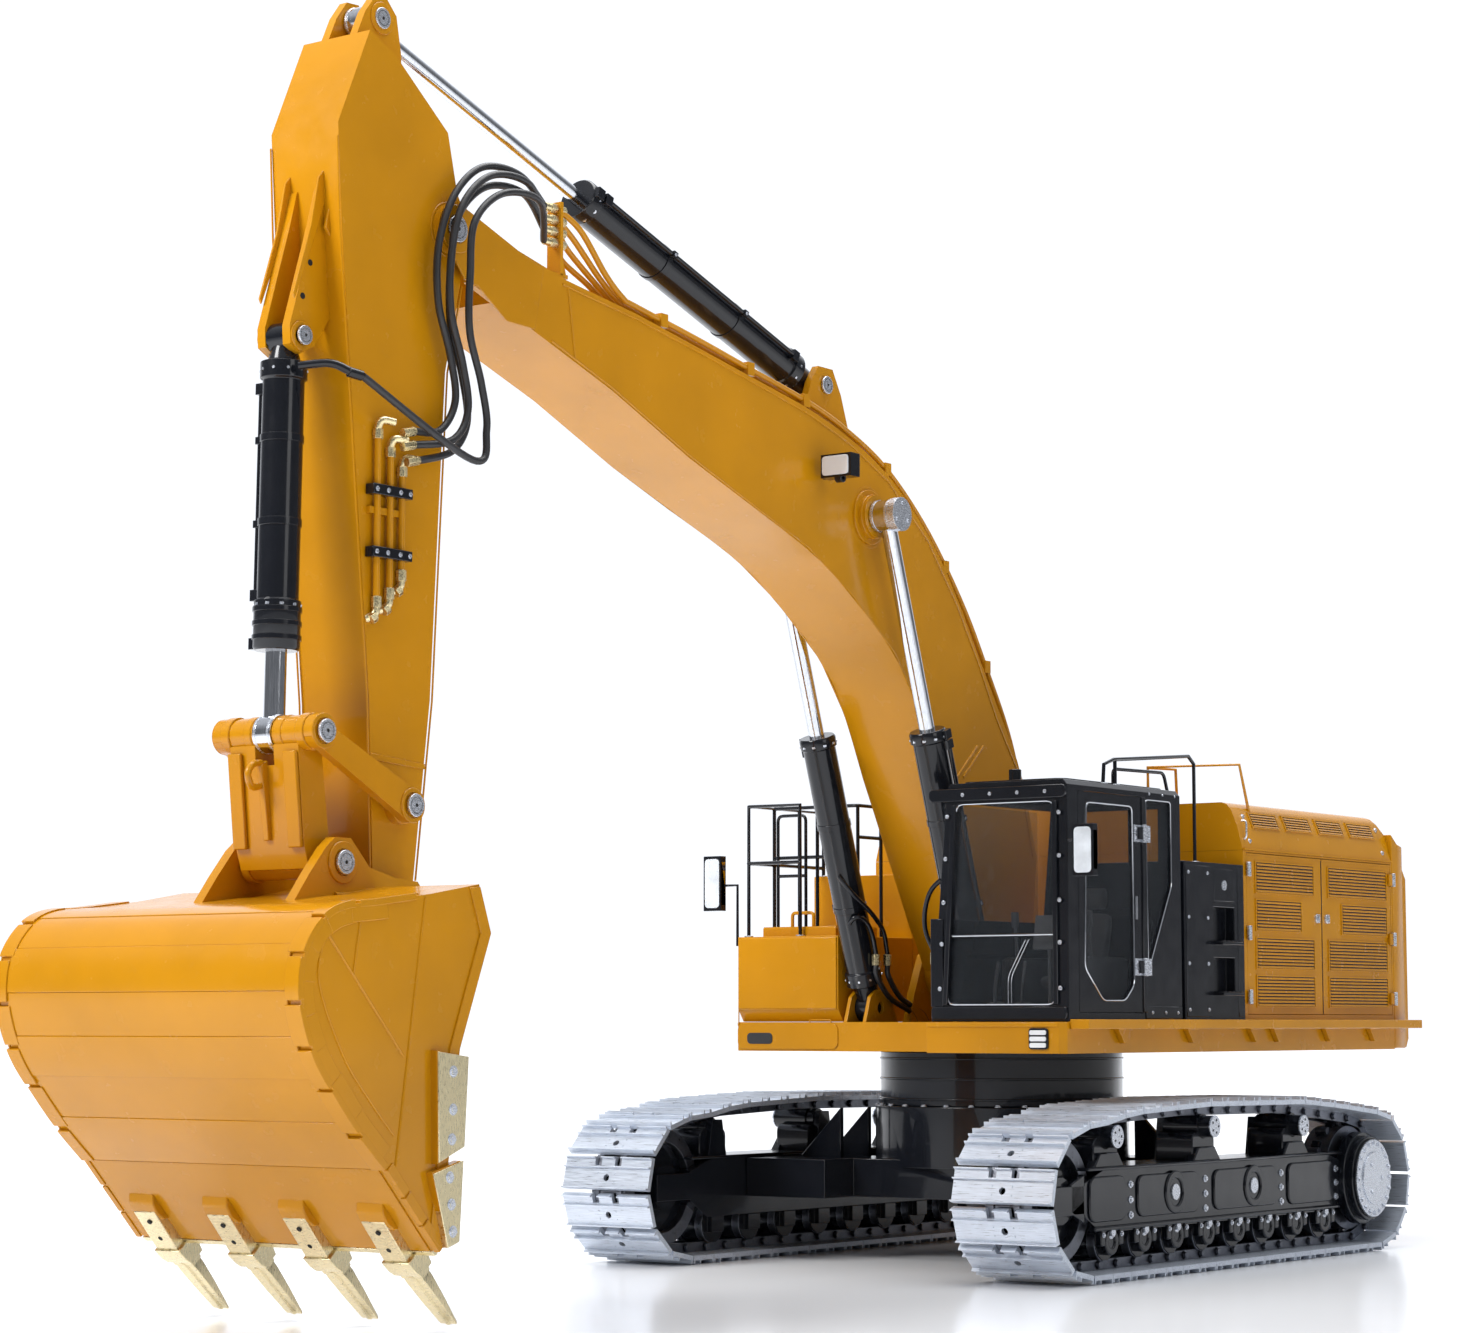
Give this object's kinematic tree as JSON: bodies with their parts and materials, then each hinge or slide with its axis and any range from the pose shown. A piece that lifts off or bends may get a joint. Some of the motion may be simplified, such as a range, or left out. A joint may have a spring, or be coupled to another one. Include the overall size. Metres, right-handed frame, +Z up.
{
  "type": "rc excavator",
  "caption": "Radio-controlled tracked hydraulic excavator of metal, yellow with black cab and undercarriage, bare-metal track shoes, boom, stick and toothed bucket that all move.",
  "frame": {"origin": "Centre of the whole object's footprint at floor level.", "axes": "+Z up, +Y towards the counterweight at the rear, so the boom reaches along -Y; +X is the cab side, the machine's left."},
  "size_m": [0.55, 1.743, 1.062],
  "materials": {
    "yellow_paint": "gloss",
    "black_paint": "gloss",
    "turned_steel": "satin",
    "shoe_metal": "satin",
    "tooth_metal": "satin",
    "hose_rubber": "matte",
    "interior_plastic": "matte"
  },
  "bodies": {
    "undercarriage": {"car_body": "black_paint", "slew_ring": "black_paint", "track_frame_l": "black_paint", "track_frame_r": "black_paint", "track_belt_l": "shoe_metal", "track_belt_r": "shoe_metal"},
    "house": {"deck": "yellow_paint", "walkway": "yellow_paint", "counterweight": "yellow_paint", "engine_house": "yellow_paint", "side_compartment": "black_paint", "pump_unit": "black_paint", "valve_block": "tooth_metal", "cab": "black_paint", "seat": "interior_plastic", "console": "interior_plastic", "tool_box": "yellow_paint", "tank": "yellow_paint", "rail_right": "black_paint", "rail_roof": "black_paint"},
    "boom": {"boom": "yellow_paint", "boom_pipes": "yellow_paint"},
    "stick": {"stick": "yellow_paint", "stick_pipes": "yellow_paint", "hose_1": "hose_rubber", "hose_2": "hose_rubber", "hose_3": "hose_rubber", "hose_4": "hose_rubber"},
    "bucket": {"bucket": "yellow_paint", "bucket_teeth": "tooth_metal"},
    "bucket_links": {"bucket_link_l": "yellow_paint", "bucket_link_r": "yellow_paint"},
    "h_link": {"h_link": "yellow_paint"},
    "boom_lamp": {"boom_lamp": "black_paint"},
    "lift_cylinder_l": {"lift_cylinder_l": "black_paint"},
    "lift_cylinder_r": {"lift_cylinder_r": "black_paint"},
    "lift_rod_l": {"lift_rod_l": "turned_steel"},
    "lift_rod_r": {"lift_rod_r": "turned_steel"},
    "stick_cylinder": {"stick_cylinder": "black_paint"},
    "stick_rod": {"stick_rod": "turned_steel"},
    "bucket_cylinder": {"bucket_cylinder": "black_paint"},
    "bucket_rod": {"bucket_rod": "turned_steel"},
    "cab_door": {"cab_door": "black_paint"},
    "engine_door_front": {"engine_door_front": "yellow_paint"},
    "engine_door_rear": {"engine_door_rear": "yellow_paint"},
    "hood": {"hood": "yellow_paint"},
    "mirror_l": {"mirror_l": "black_paint"},
    "mirror_r": {"mirror_r": "black_paint"},
    "lever_l": {"lever_l": "interior_plastic"},
    "lever_r": {"lever_r": "interior_plastic"},
    "idler_l": {"idler_l": "black_paint"},
    "idler_r": {"idler_r": "black_paint"},
    "sprocket_l": {"sprocket_l": "black_paint"},
    "sprocket_r": {"sprocket_r": "black_paint"},
    "carrier_front_l": {"carrier_front_l": "black_paint"},
    "carrier_mid_l": {"carrier_mid_l": "black_paint"},
    "carrier_rear_l": {"carrier_rear_l": "black_paint"},
    "carrier_front_r": {"carrier_front_r": "black_paint"},
    "carrier_mid_r": {"carrier_mid_r": "black_paint"},
    "carrier_rear_r": {"carrier_rear_r": "black_paint"}
  },
  "joints": [
    {"name": "swing", "type": "hinge", "parent": "undercarriage", "child": "house", "pos_m": [0, 0.3055, 0.204], "axis": [0, 0, 1], "continuous": true},
    {"name": "boom_lift", "type": "hinge", "parent": "house", "child": "boom", "pos_m": [-0.015, 0.2855, 0.285], "axis": [1, 0, 0], "range_deg": [-6, 40]},
    {"name": "stick_crowd", "type": "hinge", "parent": "boom", "child": "stick", "pos_m": [-0.015, -0.5775, 0.879], "axis": [1, 0, 0], "range_deg": [-40, 10], "deforming": ["hose_1", "hose_2", "hose_3", "hose_4"]},
    {"name": "bucket_curl", "type": "hinge", "parent": "stick", "child": "bucket", "pos_m": [-0.015, -0.6385, 0.322], "axis": [1, 0, 0], "range_deg": [-10, 60]},
    {"name": "lift_cylinder_l_turn", "type": "hinge", "parent": "house", "child": "lift_cylinder_l", "pos_m": [0.0495, 0.1855, 0.247], "axis": [1, 0, 0], "range_deg": [-6.84, 42.78]},
    {"name": "lift_rod_l_slide", "type": "slide", "parent": "lift_cylinder_l", "child": "lift_rod_l", "axis": [0, -0.3247, 0.9458], "range_m": [-0.0722, 0.0117]},
    {"name": "lift_cylinder_r_turn", "type": "hinge", "parent": "house", "child": "lift_cylinder_r", "pos_m": [-0.0795, 0.1855, 0.247], "axis": [1, 0, 0], "range_deg": [-6.84, 42.78]},
    {"name": "lift_rod_r_slide", "type": "slide", "parent": "lift_cylinder_r", "child": "lift_rod_r", "axis": [0, -0.3247, 0.9458], "range_m": [-0.0722, 0.0117]},
    {"name": "stick_cylinder_turn", "type": "hinge", "parent": "boom", "child": "stick_cylinder", "pos_m": [-0.015, -0.0125, 0.838], "axis": [1, 0, 0], "range_deg": [-5.63, 1.78]},
    {"name": "stick_rod_slide", "type": "slide", "parent": "stick_cylinder", "child": "stick_rod", "axis": [0, -0.9508, 0.3099], "range_m": [-0.1102, 0.0283]},
    {"name": "bucket_cylinder_turn", "type": "hinge", "parent": "stick", "child": "bucket_cylinder", "pos_m": [-0.015, -0.7315, 0.768], "axis": [1, 0, 0], "range_deg": [-2.08, 0.76]},
    {"name": "bucket_rod_slide", "type": "slide", "parent": "bucket_cylinder", "child": "bucket_rod", "axis": [0, -0.0192, -0.9998], "range_m": [-0.0158, 0.0898]},
    {"name": "bucket_links_turn", "type": "hinge", "parent": "stick", "child": "bucket_links", "pos_m": [-0.015, -0.6345, 0.403], "axis": [1, 0, 0], "range_deg": [-8.09, 46.07]},
    {"name": "h_link_turn", "type": "hinge", "parent": "bucket_links", "child": "h_link", "pos_m": [-0.015, -0.7375, 0.455], "axis": [1, 0, 0], "range_deg": [-37.35, 6.64]},
    {"name": "cab_door_open", "type": "hinge", "parent": "house", "child": "cab_door", "pos_m": [0.2245, 0.2035, 0.345], "axis": [0, 0, 1], "range_deg": [0, 80]},
    {"name": "engine_door_front_open", "type": "hinge", "parent": "house", "child": "engine_door_front", "pos_m": [0.2245, 0.416, 0.322], "axis": [0, 0, -1], "range_deg": [0, 100]},
    {"name": "engine_door_rear_open", "type": "hinge", "parent": "house", "child": "engine_door_rear", "pos_m": [0.2245, 0.75, 0.322], "axis": [0, 0, 1], "range_deg": [0, 100]},
    {"name": "hood_open", "type": "hinge", "parent": "house", "child": "hood", "pos_m": [-0.2217, 0.5705, 0.4085], "axis": [0, -1, 0], "range_deg": [0, 60]},
    {"name": "mirror_l_fold", "type": "hinge", "parent": "house", "child": "mirror_l", "pos_m": [0.2262, 0.06, 0.4], "axis": [0, 0, 1], "range_deg": [-60, 15]},
    {"name": "mirror_r_fold", "type": "hinge", "parent": "house", "child": "mirror_r", "pos_m": [-0.2243, 0.16, 0.346], "axis": [0, 0, 1], "range_deg": [-60, 60]},
    {"name": "lever_l_tilt", "type": "hinge", "parent": "house", "child": "lever_l", "pos_m": [0.1905, 0.1605, 0.2925], "axis": [1, 0, 0], "range_deg": [-15, 15]},
    {"name": "lever_r_tilt", "type": "hinge", "parent": "house", "child": "lever_r", "pos_m": [0.1085, 0.1605, 0.2925], "axis": [1, 0, 0], "range_deg": [-15, 15]},
    {"name": "boom_lamp_tilt", "type": "hinge", "parent": "boom", "child": "boom_lamp", "pos_m": [0.03, -0.0505, 0.742], "axis": [1, 0, 0], "range_deg": [-30, 30]},
    {"name": "sprocket_l_spin", "type": "hinge", "parent": "undercarriage", "child": "sprocket_l", "pos_m": [0.223, 0.6005, 0.073], "axis": [1, 0, 0], "continuous": true},
    {"name": "idler_l_spin", "type": "hinge", "parent": "undercarriage", "child": "idler_l", "pos_m": [0.223, 0.0105, 0.073], "axis": [1, 0, 0], "continuous": true},
    {"name": "carrier_front_l_spin", "type": "hinge", "parent": "undercarriage", "child": "carrier_front_l", "pos_m": [0.223, 0.0905, 0.1287], "axis": [1, 0, 0], "continuous": true},
    {"name": "carrier_mid_l_spin", "type": "hinge", "parent": "undercarriage", "child": "carrier_mid_l", "pos_m": [0.223, 0.2775, 0.1334], "axis": [1, 0, 0], "continuous": true},
    {"name": "carrier_rear_l_spin", "type": "hinge", "parent": "undercarriage", "child": "carrier_rear_l", "pos_m": [0.223, 0.4645, 0.13], "axis": [1, 0, 0], "continuous": true},
    {"name": "sprocket_r_spin", "type": "hinge", "parent": "undercarriage", "child": "sprocket_r", "pos_m": [-0.223, 0.6005, 0.073], "axis": [1, 0, 0], "continuous": true},
    {"name": "idler_r_spin", "type": "hinge", "parent": "undercarriage", "child": "idler_r", "pos_m": [-0.223, 0.0105, 0.073], "axis": [1, 0, 0], "continuous": true},
    {"name": "carrier_front_r_spin", "type": "hinge", "parent": "undercarriage", "child": "carrier_front_r", "pos_m": [-0.223, 0.0905, 0.1287], "axis": [1, 0, 0], "continuous": true},
    {"name": "carrier_mid_r_spin", "type": "hinge", "parent": "undercarriage", "child": "carrier_mid_r", "pos_m": [-0.223, 0.2775, 0.1334], "axis": [1, 0, 0], "continuous": true},
    {"name": "carrier_rear_r_spin", "type": "hinge", "parent": "undercarriage", "child": "carrier_rear_r", "pos_m": [-0.223, 0.4645, 0.13], "axis": [1, 0, 0], "continuous": true}
  ],
  "couplings": [
    {"joint": "lift_cylinder_l_turn", "follows": "boom_lift", "ratio": 1.0569},
    {"joint": "lift_rod_l_slide", "follows": "boom_lift", "m_per_rad": -0.102},
    {"joint": "lift_cylinder_r_turn", "follows": "boom_lift", "ratio": 1.0569},
    {"joint": "lift_rod_r_slide", "follows": "boom_lift", "m_per_rad": -0.102},
    {"joint": "stick_cylinder_turn", "follows": "stick_crowd", "ratio": 0.1282},
    {"joint": "stick_rod_slide", "follows": "stick_crowd", "m_per_rad": 0.1564},
    {"joint": "bucket_cylinder_turn", "follows": "bucket_curl", "ratio": -0.0264},
    {"joint": "bucket_rod_slide", "follows": "bucket_curl", "m_per_rad": 0.0848},
    {"joint": "bucket_links_turn", "follows": "bucket_curl", "ratio": 0.7595},
    {"joint": "h_link_turn", "follows": "bucket_curl", "ratio": -0.6141},
    {"joint": "idler_l_spin", "follows": "sprocket_l_spin", "ratio": 1},
    {"joint": "carrier_front_l_spin", "follows": "sprocket_l_spin", "ratio": 4.7},
    {"joint": "carrier_mid_l_spin", "follows": "sprocket_l_spin", "ratio": 4.7},
    {"joint": "carrier_rear_l_spin", "follows": "sprocket_l_spin", "ratio": 4.7},
    {"joint": "idler_r_spin", "follows": "sprocket_r_spin", "ratio": 1},
    {"joint": "carrier_front_r_spin", "follows": "sprocket_r_spin", "ratio": 4.7},
    {"joint": "carrier_mid_r_spin", "follows": "sprocket_r_spin", "ratio": 4.7},
    {"joint": "carrier_rear_r_spin", "follows": "sprocket_r_spin", "ratio": 4.7}
  ]
}
